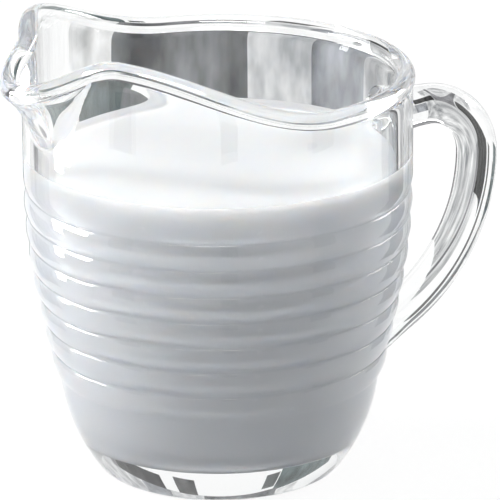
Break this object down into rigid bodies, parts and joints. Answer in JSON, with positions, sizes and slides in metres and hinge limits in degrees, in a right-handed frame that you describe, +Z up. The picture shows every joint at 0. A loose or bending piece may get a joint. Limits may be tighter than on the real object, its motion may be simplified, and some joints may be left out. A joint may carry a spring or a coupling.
{
  "type": "glass milk jug",
  "caption": "Small clear glass milk jug with pressed rings, a wavy beaded rim, a drawn spout and an oval rod handle, filled with milk.",
  "frame": {"origin": "centre of the flat underside of the base, on the body's own axis", "axes": "+Z up along the body's axis, spout towards -X, handle towards +X"},
  "size_m": [0.1212, 0.087, 0.1035],
  "materials": {
    "clear_glass": "clear pressed glass, polished, very slightly wavy",
    "milk": "whole milk, white and smooth"
  },
  "bodies": {
    "root": {"jug": "clear_glass", "milk": "milk"}
  },
  "joints": []
}
